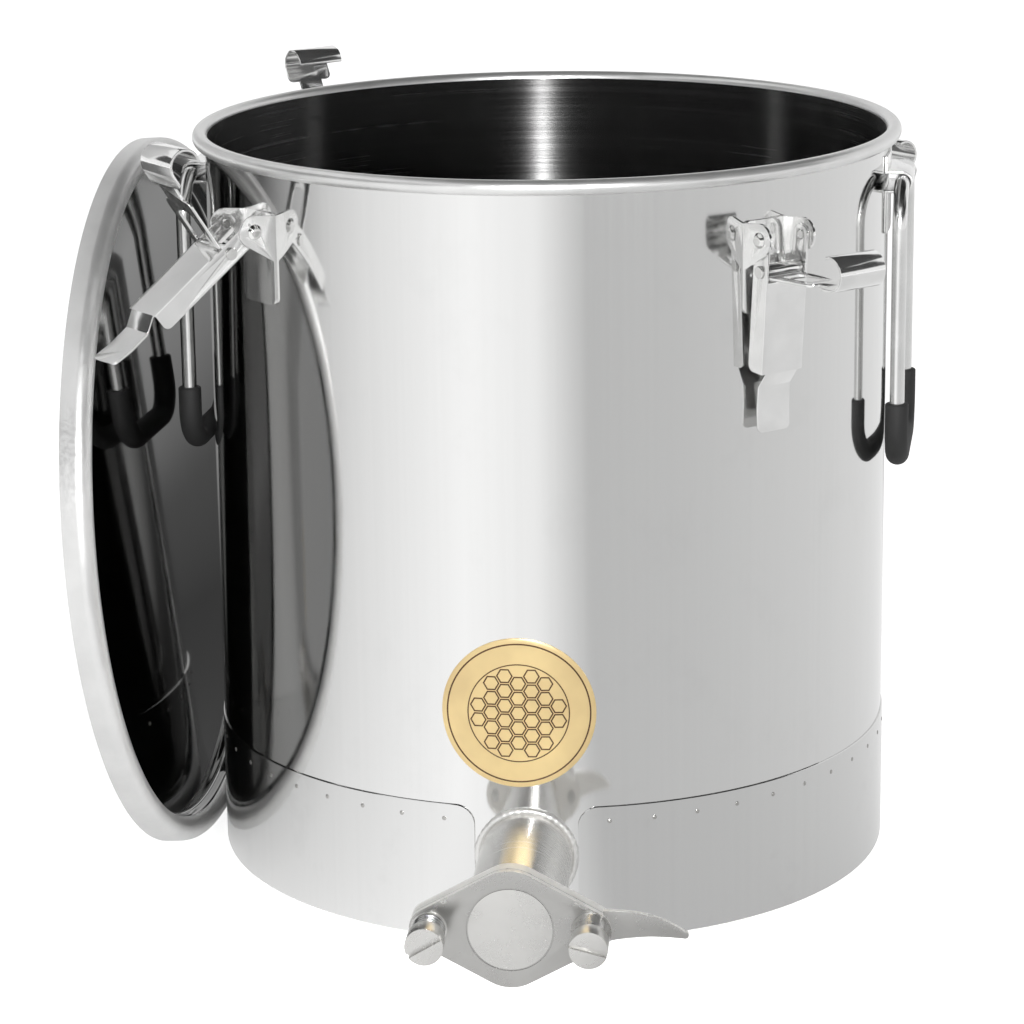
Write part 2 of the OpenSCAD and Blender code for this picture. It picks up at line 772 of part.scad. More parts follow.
// Section of the lid: outer skirt, rounded crown, well wall and well floor
module lid_section() {
    crown_in = crown_r - lid_t;
    translate([lid_r - lid_t, 0]) square([lid_t, crown_z]);
    translate([well_r - lid_t, lid_floor]) square([lid_t, crown_z - lid_floor]);
    translate([0, lid_floor]) square([well_r, lid_t]);
    translate([crown_c, crown_z]) difference() {
        circle(r = crown_r);
        circle(r = crown_in);
        translate([-2 * crown_r, -2 * crown_r]) square([4 * crown_r, 2 * crown_r]);
    }
}

module gasket_section() {
    intersection() {
        translate([crown_c, crown_z]) circle(r = crown_r - lid_t - fixed_gap);
        translate([crown_c - crown_r, gasket_z]) square(2 * crown_r);
    }
}

// Stands the lid on its edge on the ground beside the tank, with its top facing the tank
module stood_lid() {
    at_angle(lid_turn) translate([lid_shift, -lid_back, lid_r * cos(lid_lean)])
        rotate([lid_lean - 90, 0, 0]) children();
}

module lid_shell() color(steel) stood_lid() rotate_extrude() lid_section();

module lid_gasket() color("dimgray") stood_lid() rotate_extrude() gasket_section();

tank_wall();
rim_wire();
tank_bottom();
base_skirt();
skirt_spot_welds();
outlet_pipe();
outlet_weld();
valve_flange();
gate_seal();
gate_plate();
pivot_screw();
pivot_washer();
pivot_spring();
clamp_screw();
clamp_cone();
badge();
at_angle(90 + fittings_turn) handle_bracket();  // handle_bracket_right
at_angle(90 + fittings_turn) handle_bail();  // handle_bail_right
at_angle(90 + fittings_turn) handle_grip();  // handle_grip_right
at_angle(fittings_turn - 90) handle_bracket();  // handle_bracket_left
at_angle(fittings_turn - 90) handle_bail();  // handle_bail_left
at_angle(fittings_turn - 90) handle_grip();  // handle_grip_left
for (i = [0 : 3]) {
    latch_base(i);
    latch_rivets(i);
    latch_lever(i);
    latch_hook_pin(i);
    latch_hook(i);
}
lid_shell();
lid_gasket();
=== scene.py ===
"""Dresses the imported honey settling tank: bright sheet, gate valve, latches, handles and lid."""

import math

import bmesh
import bpy
from bpy.props import FloatProperty, FloatVectorProperty, IntProperty, PointerProperty
from mathutils import Matrix, Vector


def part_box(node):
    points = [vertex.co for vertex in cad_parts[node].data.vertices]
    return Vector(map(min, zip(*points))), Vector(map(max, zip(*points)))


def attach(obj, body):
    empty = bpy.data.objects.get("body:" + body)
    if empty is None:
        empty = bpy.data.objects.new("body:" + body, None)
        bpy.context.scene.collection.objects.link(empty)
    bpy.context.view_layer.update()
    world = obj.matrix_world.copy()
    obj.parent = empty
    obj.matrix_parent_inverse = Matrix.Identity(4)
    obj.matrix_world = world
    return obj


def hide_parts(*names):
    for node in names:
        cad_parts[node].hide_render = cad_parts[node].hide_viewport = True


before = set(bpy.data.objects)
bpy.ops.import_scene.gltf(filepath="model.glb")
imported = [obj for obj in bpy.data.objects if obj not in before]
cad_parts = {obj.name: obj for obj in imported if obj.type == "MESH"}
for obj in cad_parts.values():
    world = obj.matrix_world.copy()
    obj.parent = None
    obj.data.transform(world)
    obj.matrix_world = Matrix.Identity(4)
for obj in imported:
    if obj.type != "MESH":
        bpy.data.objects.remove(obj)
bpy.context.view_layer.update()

bl_info = {
    "name": "Honey Settling Tank",
    "version": (1, 0, 0),
    "blender": (4, 5, 0),
    "location": "View3D > Sidebar > Tank",
    "description": "Builds the visible pieces of a honey settling tank round its packed solids",
    "category": "Object",
}

LATCHES = ("front_left", "front_right", "back_right", "back_left")
SIDES = {"right": 90.0, "left": -90.0}  # degrees from the valve, round the drum

SEAT = 0.00003  # a seated piece stands this far off its seat
WIRE_GAP = 0.00035  # play of the wire inside the rolled rim
CREASE = 32.0  # degrees; edges of built meshes stay sharp beyond it
SOLID_CREASE = 28.0  # degrees; edges of the solids are broken beyond it

# The photograph's viewpoint
EYE = (0.1455, -1.8911, 0.6994)
YAW, PITCH, ROLL = math.radians(5.047), math.radians(15.257), -0.0132
SENSOR = 36.0  # millimetres

# What the metal sees of the floor: angle from the camera's side in degrees, and brightness
FLOOR_SHEEN = (
    (-180, 0.06), (-105, 0.1), (-75, 0.6), (-60, 0.74), (-25, 0.95), (-4, 0.86),
    (12, 0.5), (45, 0.53), (110, 0.65), (150, 0.7), (168, 0.1), (180, 0.06),
)


# Properties

def length(name, default, description):
    """A size in metres, shown in scene units."""
    return FloatProperty(
        name=name, description=description, default=default, min=0.0, unit="LENGTH", precision=5)


def degrees(name, default, description):
    """An angle that is kept in degrees."""
    return FloatProperty(name=name, description=description + ", in degrees", default=default)


def amount(name, default, description, **more):
    """A plain number from 0 up."""
    return FloatProperty(name=name, description=description, default=default, min=0.0, **more)


def count(name, default, description, least=1):
    """A whole number of copies or turns."""
    return IntProperty(name=name, description=description, default=default, min=least)


def tint(name, default, description):
    """A linear colour."""
    return FloatVectorProperty(
        name=name, description=description, default=default, size=3, subtype="COLOR", min=0, max=1)


class DrumLook(bpy.types.PropertyGroup):
    """Sizes and finish of the drum and its base skirt."""

    radius: length("Wall radius", 0.185, "Outside radius of the drum's wall")
    sheet: length("Sheet", 0.001, "Thickness of the drum's sheet")
    foot: length("Foot", 0.014, "Height of the drum's bottom above the ground")
    floor_edge: length("Floor edge", 0.007, "Height of the upturned edge of the bottom")
    rim: length("Rim", 0.008, "Diameter of the rolled rim")
    rim_bite: length("Rim bite", 0.0003, "How far the rolled rim stands into the mouth")
    skirt_height: length("Skirt height", 0.074, "Height of the base skirt")
    skirt_sheet: length("Skirt sheet", 0.0008, "Thickness of the skirt's sheet")
    skirt_gap: length("Skirt gap", 0.054, "Width of the opening round the outlet")
    skirt_corner: length("Skirt corner", 0.010, "Radius of the opening's upper corners")
    weld_spots: count("Spot welds", 46, "Number of spot welds along the skirt", least=2)
    weld_size: length("Spot size", 0.0024, "Diameter of a spot weld")
    weld_drop: length("Spot drop", 0.008, "Distance of the spot welds below the skirt's edge")
    steel: tint("Sheet steel", (0.72, 0.72, 0.715), "Colour of the drum's sheet")
    smudge: amount("Smudges", 0.7, "Strength of handling marks", max=1.0, subtype="FACTOR")


class ValveLook(bpy.types.PropertyGroup):
    """Sizes and finish of the outlet and its gate valve; distances are from the drum's axis."""

    height: length("Outlet height", 0.047, "Height of the outlet's centre")
    pipe: length("Pipe", 0.0483, "Outside diameter of the outlet pipe")
    pipe_wall: length("Pipe wall", 0.002, "Wall thickness of the outlet pipe")
    pipe_start: length("Pipe start", 0.181, "Distance of the pipe's inner end")
    pipe_end: length("Pipe end", 0.281, "Distance of the pipe's outer end")
    ring: length("Ring", 0.0427, "Diameter of the ring cut in the gate's face")
    screw_offset: length("Screw offset", 0.040, "Distance of a screw from the outlet's centre")
    spring_start: length("Spring start", 0.2863, "Distance of the spring's inner end")
    spring_end: length("Spring end", 0.2990, "Distance of the spring's outer end")
    spring_size: length("Spring diameter", 0.017, "Outside diameter of the spring")
    spring_wire: length("Spring wire", 0.0018, "Diameter of the spring's wire")
    spring_turns: count("Spring turns", 4, "Turns of the spring")
    steel: tint("Valve steel", (0.58, 0.575, 0.56), "Colour of the cast and turned pieces")


class BadgeLook(bpy.types.PropertyGroup):
    """Size and colours of the round badge."""

    size: length("Badge diameter", 0.080, "Diameter of the badge")
    height: length("Badge height", 0.1255, "Height of the badge's centre")
    thickness: length("Badge thickness", 0.0008, "Thickness of the badge")
    print_lift: length("Print", 0.00004, "Thickness of the printed lines")
    turn: degrees("Badge turn", -1.0, "Angle from the valve")
    gold: tint("Honey gold", (0.92, 0.69, 0.34), "Colour of the badge's face")
    line: tint("Line brown", (0.11, 0.045, 0.012), "Colour of the printed rings and cells")


class HandleLook(bpy.types.PropertyGroup):
    """Sizes and finish of the drop handles."""

    bar: length("Bar", 0.008, "Diameter of the handle bar")
    width: length("Width", 0.084, "Width between the legs' centres")
    drop: length("Drop", 0.1465, "Drop from the pivot to the grip's centre")
    top_bend: length("Upper bend", 0.021, "Bend radius of the upper corners")
    low_bend: length("Lower bend", 0.018, "Bend radius of the lower corners")
    pivot_out: length("Pivot out", 0.0085, "Distance of the pivot from the wall")
    pivot_height: length("Pivot height", 0.374, "Height of the pivot")
    grip: length("Grip", 0.0125, "Outside diameter of the grip sleeve")
    grip_rise: length("Grip rise", 0.0315, "Height of the sleeve's ends above the grip's centre")
    turn: degrees("Handle turn", -4.0, "Turn of both handles round the drum")
    rubber: tint("Grip rubber", (0.006, 0.006, 0.0065), "Colour of the grip sleeves")


class LidLook(bpy.types.PropertyGroup):
    """Sizes and finish of the lid."""

    radius: length("Lid radius", 0.1960, "Outside radius of the lid")
    well: length("Well radius", 0.1829, "Outside radius of the lid's well")
    height: length("Lid height", 0.015, "Height from the lower edge to the crown")
    depth: length("Well depth", 0.012, "Depth of the well below the crown")
    sheet: length("Lid sheet", 0.001, "Thickness of the lid's sheet")
    turn: degrees("Lid turn", -94.6, "Angle at which the lid stands")
    shift: length("Lid shift", 0.028, "Distance of the lid's middle from that line, frontwards")
    lean: degrees("Lid lean", 3.5, "Lean away from the drum")
    back: length("Lid distance", 0.213424, "Distance of the lid's open side from the drum's axis")
    steel: tint("Lid steel", (0.68, 0.68, 0.675), "Colour of the lid's sheet")


class StageLook(bpy.types.PropertyGroup):
    """Light, floor and camera."""

    floor: tint("Floor", (0.9, 0.9, 0.9), "Colour of the floor")
    key_power: amount("Key light", 32.0, "Power of the light on the left", unit="POWER")
    fill_power: amount("Fill light", 14.0, "Power of the light on the right", unit="POWER")
    strip_glow: amount("Strip", 560.0, "Brightness of the narrow strip that only the metal sees")
    focal: amount("Lens", 123.73, "Focal length in millimetres")


class TankLooks(bpy.types.PropertyGroup):
    """All looks of the settling tank."""

    drum: PointerProperty(type=DrumLook)
    valve: PointerProperty(type=ValveLook)
    badge: PointerProperty(type=BadgeLook)
    handle: PointerProperty(type=HandleLook)
    lid: PointerProperty(type=LidLook)
    stage: PointerProperty(type=StageLook)


def looks():
    return bpy.context.scene.settling_tank


# Meshes

def at_angle(angle):
    """Turns what is built at the front to an angle round the drum, in degrees."""
    return Matrix.Rotation(math.radians(angle), 4, "Z")


def arc(cx, cy, r, start, end, steps):
    """Points on an arc, angles in degrees."""
    turns = [math.radians(start + (end - start) * i / steps) for i in range(steps + 1)]
    return [(cx + r * math.cos(a), cy + r * math.sin(a)) for a in turns]


def grid(rows, columns, closed=False, base=0):
    """Faces between rows of points that run round; closed, the last row joins the first."""
    faces = []
    for i in range(rows if closed else rows - 1):
        a, b = base + i * columns, base + (i + 1) % rows * columns
        for k in range(columns):
            m = (k + 1) % columns
            faces.append((a + k, a + m, b + m, b + k))
    return faces


def ends(rows, columns, base=0):
    """The two caps of an open grid."""
    last = base + (rows - 1) * columns
    return [tuple(range(base, base + columns)), tuple(range(last, last + columns))]


def soften(mesh, crease):
    """Smooth shading, with edges sharper than the crease kept sharp."""
    mesh.polygons.foreach_set("use_smooth", [True] * len(mesh.polygons))
    mesh.set_sharp_from_angle(angle=math.radians(crease))
    mesh.update()


def mesh_from(name, verts, faces, crease=CREASE, weld=1e-6):
    """A smooth-shaded mesh with doubles welded, faces turned outward and creases kept sharp."""
    shape = bmesh.new()
    made = [shape.verts.new(v) for v in verts]
    for face in faces:
        ring = [made[i] for i in face]
        if len(set(ring)) > 2:
            shape.faces.new(ring)
    bmesh.ops.remove_doubles(shape, verts=shape.verts, dist=weld)
    bmesh.ops.dissolve_degenerate(shape, edges=shape.edges, dist=weld)
    bmesh.ops.recalc_face_normals(shape, faces=shape.faces)
    mesh = bpy.data.meshes.new(name)
    shape.to_mesh(mesh)
    shape.free()
    soften(mesh, crease)
    return mesh


def lathe(name, profile, segments, place=Matrix.Identity(4)):
    """A closed outline of (radius, height) points turned round the Z axis."""
    verts = []
    for i in range(segments):
        a = 2 * math.pi * i / segments
        verts += [place @ Vector((r * math.cos(a), r * math.sin(a), z)) for r, z in profile]
    return mesh_from(name, verts, grid(segments, len(profile), True))


def sweep(name, path, radius, sides, closed=False):
    """A round bar along a path; radius is a number or one per point, and an open bar has caps."""
    points = [Vector(p) for p in path]
    n = len(points)
    radii = [radius] * n if isinstance(radius, float) else radius
    tangents = []
    for i in range(n):
        a = points[(i - 1) % n] if closed or i else points[0]
        b = points[(i + 1) % n] if closed or i < n - 1 else points[-1]
        tangents.append((b - a).normalized())
    side = tangents[0].orthogonal().normalized()
    verts = []
    for point, tangent, size in zip(points, tangents, radii):
        side = (side - tangent * side.dot(tangent)).normalized()
        other = tangent.cross(side)
        for k in range(sides):
            a = 2 * math.pi * k / sides
            verts.append(point + size * (math.cos(a) * side + math.sin(a) * other))
    faces = grid(n, sides, closed)
    if not closed:
        faces += ends(n, sides)
    return mesh_from(name, verts, faces, 60.0)


def modified(mesh, kind, **values):
    """The mesh that one modifier makes of a mesh."""
    holder = bpy.data.objects.new(mesh.name, mesh)
    bpy.context.scene.collection.objects.link(holder)
    change = holder.modifiers.new("change", kind)
    for key, value in values.items():
        setattr(change, key, value)
    bpy.context.view_layer.update()
    graph = bpy.context.evaluated_depsgraph_get()
    made = bpy.data.meshes.new_from_object(holder.evaluated_get(graph))
    bpy.data.objects.remove(holder)
    return made


def broken_edges(node, width, segments=2):
    """A copy of a solid with its flats joined and its sharp edges broken by a small round."""
    shape = bmesh.new()
    shape.from_mesh(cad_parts[node].data)
    bmesh.ops.remove_doubles(shape, verts=shape.verts, dist=2e-6)
    bmesh.ops.dissolve_limit(
        shape, angle_limit=math.radians(0.6), verts=shape.verts, edges=shape.edges)
    mesh = bpy.data.meshes.new(node)
    shape.to_mesh(mesh)
    shape.free()
    shaped = modified(
        mesh, "BEVEL", width=width, segments=segments, limit_method="ANGLE",
        angle_limit=math.radians(SOLID_CREASE), use_clamp_overlap=True)
    shaped.name = node
    soften(shaped, SOLID_CREASE)
    return shaped


def cut_round(mesh, radius, start, end):
    """Cuts a round hole between two points out of a mesh."""
    start, end = Vector(start), Vector(end)
    turn = (end - start).to_track_quat("Z", "Y").to_matrix().to_4x4()
    drill = bmesh.new()
    bmesh.ops.create_cone(
        drill, cap_ends=True, segments=96, radius1=radius, radius2=radius,
        depth=(end - start).length, matrix=Matrix.Translation((start + end) / 2) @ turn)
    drill_mesh = bpy.data.meshes.new("drill")
    drill.to_mesh(drill_mesh)
    drill.free()
    cutter = bpy.data.objects.new("drill", drill_mesh)
    bpy.context.scene.collection.objects.link(cutter)
    result = modified(mesh, "BOOLEAN", object=cutter, operation="DIFFERENCE", solver="EXACT")
    bpy.data.objects.remove(cutter)
    soften(result, CREASE)
    return result


def add_piece(name, mesh, body, nodes, slot, *finishes):
    """Puts a mesh in the scene on a body, in place of the named solids, with its finishes."""
    piece = bpy.data.objects.new(name, mesh)
    bpy.context.scene.collection.objects.link(piece)
    mesh.materials.clear()
    for finish in finishes:
        mesh.materials.append(finish)
    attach(piece, body)
    if nodes:
        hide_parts(*nodes)


# Finishes

def shade(colour, factor):
    """A colour made darker or lighter."""
    return tuple(min(1.0, c * factor) for c in colour)


class Finish:
    """A node material being put together, with short ways to add and join nodes."""

    def __init__(self, name):
        self.material = bpy.data.materials.new(name)
        self.material.use_nodes = True
        self.tree = self.material.node_tree
        self.shader = self.tree.nodes["Principled BSDF"]

    def node(self, kind, **values):
        made = self.tree.nodes.new(kind)
        for key, value in values.items():
            setattr(made, key, value)
        return made

    def join(self, a, b):
        self.tree.links.new(a, b)

    def fix(self, socket, value):
        """Sets one of the shader's inputs to a constant."""
        self.shader.inputs[socket].default_value = value

    def feed(self, socket, output):
        """Joins an output to one of the shader's inputs."""
        self.join(output, self.shader.inputs[socket])

    def grain(self, scale, detail, roughness, stretch=(1, 1, 1)):
        """Noise in the object's own space, stretched along an axis."""
        place = self.node("ShaderNodeTexCoord")
        mapping = self.node("ShaderNodeMapping")
        mapping.inputs["Scale"].default_value = stretch
        noise = self.node("ShaderNodeTexNoise")
        noise.inputs["Scale"].default_value = scale
        noise.inputs["Detail"].default_value = detail
        noise.inputs["Roughness"].default_value = roughness
        self.join(place.outputs["Object"], mapping.inputs["Vector"])
        self.join(mapping.outputs["Vector"], noise.inputs["Vector"])
        return noise.outputs["Fac"]

    def spread(self, source, low, high, from_low=0.3, from_high=0.7):
        """Maps a value to a new span."""
        made = self.node("ShaderNodeMapRange")
        made.inputs["From Min"].default_value = from_low
        made.inputs["From Max"].default_value = from_high
        made.inputs["To Min"].default_value = low
        made.inputs["To Max"].default_value = high
        self.join(source, made.inputs["Value"])
        return made.outputs["Result"]

    def blend(self, factor, a, b):
        """A colour between two colours; each is a colour or an output."""
        made = self.node("ShaderNodeMix", data_type="RGBA")
        self.join(factor, made.inputs["Factor"])
        for key, value in (("A", a), ("B", b)):
            socket = next(s for s in made.inputs if s.name == key and s.type == "RGBA")
            if isinstance(value, bpy.types.NodeSocket):
                self.join(value, socket)
            else:
                socket.default_value = (*value, 1.0)
        return next(s for s in made.outputs if s.type == "RGBA")

    def mottle(self, noise, colour, low, high):
        """A colour that goes with a noise from a darker to a lighter shade."""
        return self.blend(self.spread(noise, 0.0, 1.0), shade(colour, low), shade(colour, high))

    def add(self, a, b):
        made = self.node("ShaderNodeMath", operation="ADD")
        self.join(a, made.inputs[0])
        self.join(b, made.inputs[1])
        return made.outputs[0]

    def relief(self, height, distance, strength):
        """Fine relief in the shading."""
        made = self.node("ShaderNodeBump")
        made.inputs["Strength"].default_value = strength
        made.inputs["Distance"].default_value = distance
        self.join(height, made.inputs["Height"])
        self.feed("Normal", made.outputs["Normal"])


def brushed_steel(name, colour, rough, spread_along, grain=(1.5, 1.5, 900.0), axis="Z"):
    """Steel with fine grain round an axis; highlights spread along that axis."""
    finish = Finish(name)
    lines = finish.grain(1.0, 5.0, 0.7, grain)
    broad = finish.spread(finish.grain(14.0, 3.0, 0.5), -0.03, 0.03)
    finish.fix("Metallic", 1.0)
    finish.feed("Base Color", finish.mottle(lines, colour, 0.93, 1.05))
    finish.feed("Roughness", finish.add(finish.spread(lines, *rough), broad))
    finish.relief(lines, 0.00002, 0.25)
    finish.fix("Anisotropic", spread_along)
    finish.fix("Anisotropic Rotation", 0.25)
    tangent = finish.node("ShaderNodeTangent", direction_type="RADIAL", axis=axis)
    finish.feed("Tangent", tangent.outputs["Tangent"])
    return finish.material


def polished_steel(name, colour, rough=(0.06, 0.09), smudge=0.0):
    """Bright sheet: nearly a mirror, with a trace of brushing, slight waves and handling marks."""
    finish = Finish(name)
    lines = finish.grain(1.0, 4.0, 0.6, (260.0, 260.0, 2.0))
    sheet = finish.mottle(lines, colour, 0.992, 1.008)
    if smudge:
        marks = finish.spread(finish.grain(26.0, 6.0, 0.62), 0.0, smudge * 0.12, 0.56, 0.74)
        sheet = finish.blend(marks, sheet, shade(colour, 0.7))
    broad = finish.spread(finish.grain(16.0, 4.0, 0.6), -0.02, 0.03)
    finish.fix("Metallic", 1.0)
    finish.feed("Base Color", sheet)
    finish.feed("Roughness", finish.add(finish.spread(lines, *rough), broad))
    finish.relief(finish.grain(5.0, 2.0, 0.4, (1.0, 1.0, 0.35)), 0.00012, 1.0)
    return finish.material


def satin_steel(name, colour, rough, scale=900.0, metal=1.0):
    """Turned, cast or pressed steel with an even satin."""
    finish = Finish(name)
    speck = finish.grain(scale, 4.0, 0.6)
    clouds = finish.grain(60.0, 3.0, 0.5)
    broad = finish.spread(clouds, -0.02, 0.02)
    finish.fix("Metallic", metal)
    finish.feed("Base Color", finish.mottle(clouds, colour, 0.95, 1.03))
    finish.feed("Roughness", finish.add(finish.spread(speck, *rough), broad))
    finish.relief(clouds, 0.00002, 0.5)
    return finish.material


def grip_rubber(name, colour):
    """Matte black tube with a fine skin."""
    finish = Finish(name)
    skin = finish.grain(1400.0, 3.0, 0.6)
    finish.feed("Base Color", finish.mottle(finish.grain(70.0, 3.0, 0.5), colour, 0.8, 1.7))
    finish.feed("Roughness", finish.spread(skin, 0.42, 0.6))
    finish.fix("Specular IOR Level", 0.25)
    finish.relief(skin, 0.00005, 0.35)
    return finish.material


def printed_badge(name, colour):
    """Satin printed foil."""
    finish = Finish(name)
    speck = finish.grain(1.0, 3.0, 0.6, (300.0, 300.0, 300.0))
    finish.fix("Metallic", 0.2)
    finish.feed("Base Color", finish.mottle(finish.grain(30.0, 3.0, 0.5), colour, 0.88, 1.12))
    finish.feed("Roughness", finish.spread(speck, 0.3, 0.42))
    finish.relief(speck, 0.00002, 0.2)
    return finish.material


def finish_named(name, maker, *values, **more):
    """The finish of that name, made once."""
    return bpy.data.materials.get(name) or maker(name, *values, **more)


def fitting_finish():
    """Satin of the rim's wire, the handles and their brackets."""
    return finish_named("fitting_satin", satin_steel, shade(looks().drum.steel, 1.02), (0.2, 0.24))


# Pieces

class TANK_OT_drum(bpy.types.Operator):
    """Wall with its rolled rim, rim wire and bottom"""

    bl_idname = "settling_tank.drum"
    bl_label = "Drum"

    def execute(self, context):
        look = looks().drum
        bead = look.rim / 2
        bead_x = look.radius - look.sheet - look.rim_bite + bead
        bead_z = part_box("tank_wall")[1].z - bead
        self.wall(look, bead, bead_x, bead_z)
        wire = arc(bead_x, bead_z, bead - look.sheet - WIRE_GAP, 0, 345, 23)
        add_piece("drum_rim_wire", lathe("rim_wire", wire, 128), "tank", ["rim_wire"],
                  "fitting_steel", fitting_finish())
        self.bottom(look)
        return {"FINISHED"}

    def wall(self, look, bead, bead_x, bead_z):
        """The sheet, rolled round the wire at its top and holed for the outlet."""
        valve = looks().valve
        r, t = look.radius, look.sheet
        outside = math.degrees(math.acos((bead_x - r) / bead))
        inside = math.degrees(math.acos((bead_x - r + t) / bead))
        levels = (look.foot, 0.02, 0.03, 0.075, 0.1, 0.2, 0.3)
        profile = [(r, z) for z in levels]
        profile += arc(bead_x, bead_z, bead, outside - 180, 180 + inside, 30)
        profile += [(r - t, z) for z in reversed(levels)]
        reach = 0.01
        wall = cut_round(lathe("tank_wall", profile, 288), valve.pipe / 2 + SEAT,
                         (0, reach - r, valve.height), (0, -r - reach, valve.height))
        bright = finish_named(
            "drum_sheet", polished_steel, tuple(look.steel), smudge=look.smudge)
        # The inside gets the sheet's colour at 0.3: painted shade inside the drum.
        shaded_inside = finish_named(
            "drum_inside", brushed_steel, shade(look.steel, 0.3), (0.2, 0.28), 1.0)
        # The rim gets a slightly lighter, less metallic copy of the sheet's steel: painted light
        # on the rolled rim.
        lighter_rim = finish_named(
            "rim_satin", satin_steel, shade(look.steel, 1.05), (0.33, 0.37), 500.0, 0.7)
        add_piece("drum_wall", wall, "tank", ["tank_wall"], "tank_steel", bright, shaded_inside, lighter_rim)
        near = 0.0001
        for face in wall.polygons:
            out, z = math.hypot(face.center.x, face.center.y), face.center.z
            # Faces on the rim take the painted light finish.
            if z > bead_z or (z > bead_z - bead * 1.02 and out > r + near):
                face.material_index = 2
            # Faces inside the wall take the painted shade finish.
            elif out < r - t + near:
                face.material_index = 1

    def bottom(self, look):
        """The flat bottom with its upturned edge."""
        t, low, bend = look.sheet, look.foot, 0.003
        out = look.radius - t - SEAT
        edge = low + look.floor_edge
        outline = [(0.0, low), (out - bend, low)]
        outline += arc(out - bend, low + bend, bend, -90, 0, 6) + [(out, edge), (out - t, edge)]
        outline += arc(out - bend, low + bend, bend - t, 0, -90, 6) + [(0.0, low + t)]
        finish = finish_named("bottom_sheet", satin_steel, tuple(look.steel), (0.2, 0.3), 400.0)
        add_piece("drum_bottom", lathe("tank_bottom", outline, 192), "tank", ["tank_bottom"],
                  "tank_steel", finish)


class TANK_OT_skirt(bpy.types.Operator):
    """Base skirt with its front opening and spot welds"""

    bl_idname = "settling_tank.skirt"
    bl_label = "Base skirt"

    def execute(self, context):
        look = looks().drum
        inner = look.radius + SEAT
        outer = inner + look.skirt_sheet
        self.sheet(look, inner, outer)
        self.spots(look, outer)
        return {"FINISHED"}

    def sheet(self, look, inner, outer):
        """The band round the foot, open at the front with round upper corners."""
        half, corner, high = look.skirt_gap / 2, look.skirt_corner, look.skirt_height
        start = math.asin(half / outer)
        end = math.asin((half + corner) / outer)
        bends, steps = 14, 300
        turn = [start + (end - start) * (1 - math.cos(math.pi / 2 * i / bends))
                for i in range(bends + 1)]
        angles = turn + [end + (2 * math.pi - 2 * end) * i / steps for i in range(1, steps)]
        angles += [2 * math.pi - a for a in reversed(turn)]
        lip = 0.00025
        verts = []
        for a in angles:
            x = outer * math.sin(min(a, 2 * math.pi - a)) if math.cos(a) > 0 else 1.0
            run = min(max(x - half, 0.0), corner)
            h = high - corner + math.sqrt(max(corner ** 2 - (corner - run) ** 2, 0.0))
            ring = [(outer, 0.0), (outer, h - lip), (outer - lip, h), (inner, h), (inner, 0.0)]
            verts += [(q * math.sin(a), -q * math.cos(a), z) for q, z in ring]
        faces = grid(len(angles), len(ring)) + ends(len(angles), len(ring))
        # The skirt's colour is darkened a little (0.93) as painted shade near the floor.
        steel = finish_named(
            "skirt_sheet", polished_steel, shade(look.steel, 0.93), (0.09, 0.15), 1.4)
        add_piece("base_skirt_sheet", mesh_from("base_skirt", verts, faces), "tank",
                  ["base_skirt"], "tank_steel", steel)

    def spots(self, look, outer):
        """Small pressed domes in a row below the skirt's edge."""
        after_corner = 0.006
        first = math.asin((look.skirt_gap / 2 + look.skirt_corner + after_corner) / outer)
        rings = [(1.0, SEAT), (0.8, 0.00022), (0.45, 0.0003)]
        sides = 14
        verts, faces = [], []
        for i in range(look.weld_spots):
            middle = first + (2 * math.pi - 2 * first) * i / (look.weld_spots - 1)
            base = len(verts)
            for share, lift in rings:
                for k in range(sides):
                    t = 2 * math.pi * k / sides
                    x = share * look.weld_size / 2 * math.cos(t)
                    z = share * look.weld_size / 2 * math.sin(t)
                    a, q = middle + x / outer, outer + lift
                    verts.append((q * math.sin(a), -q * math.cos(a),
                                  look.skirt_height - look.weld_drop + z))
            faces += grid(len(rings), sides, base=base) + ends(len(rings), sides, base)
        finish = finish_named("weld_spot", satin_steel, (0.42, 0.415, 0.4), (0.3, 0.45))
        add_piece("skirt_spots", mesh_from("skirt_spot_welds", verts, faces, 70.0), "tank",
                  ["skirt_spot_welds"], "fitting_steel", finish)


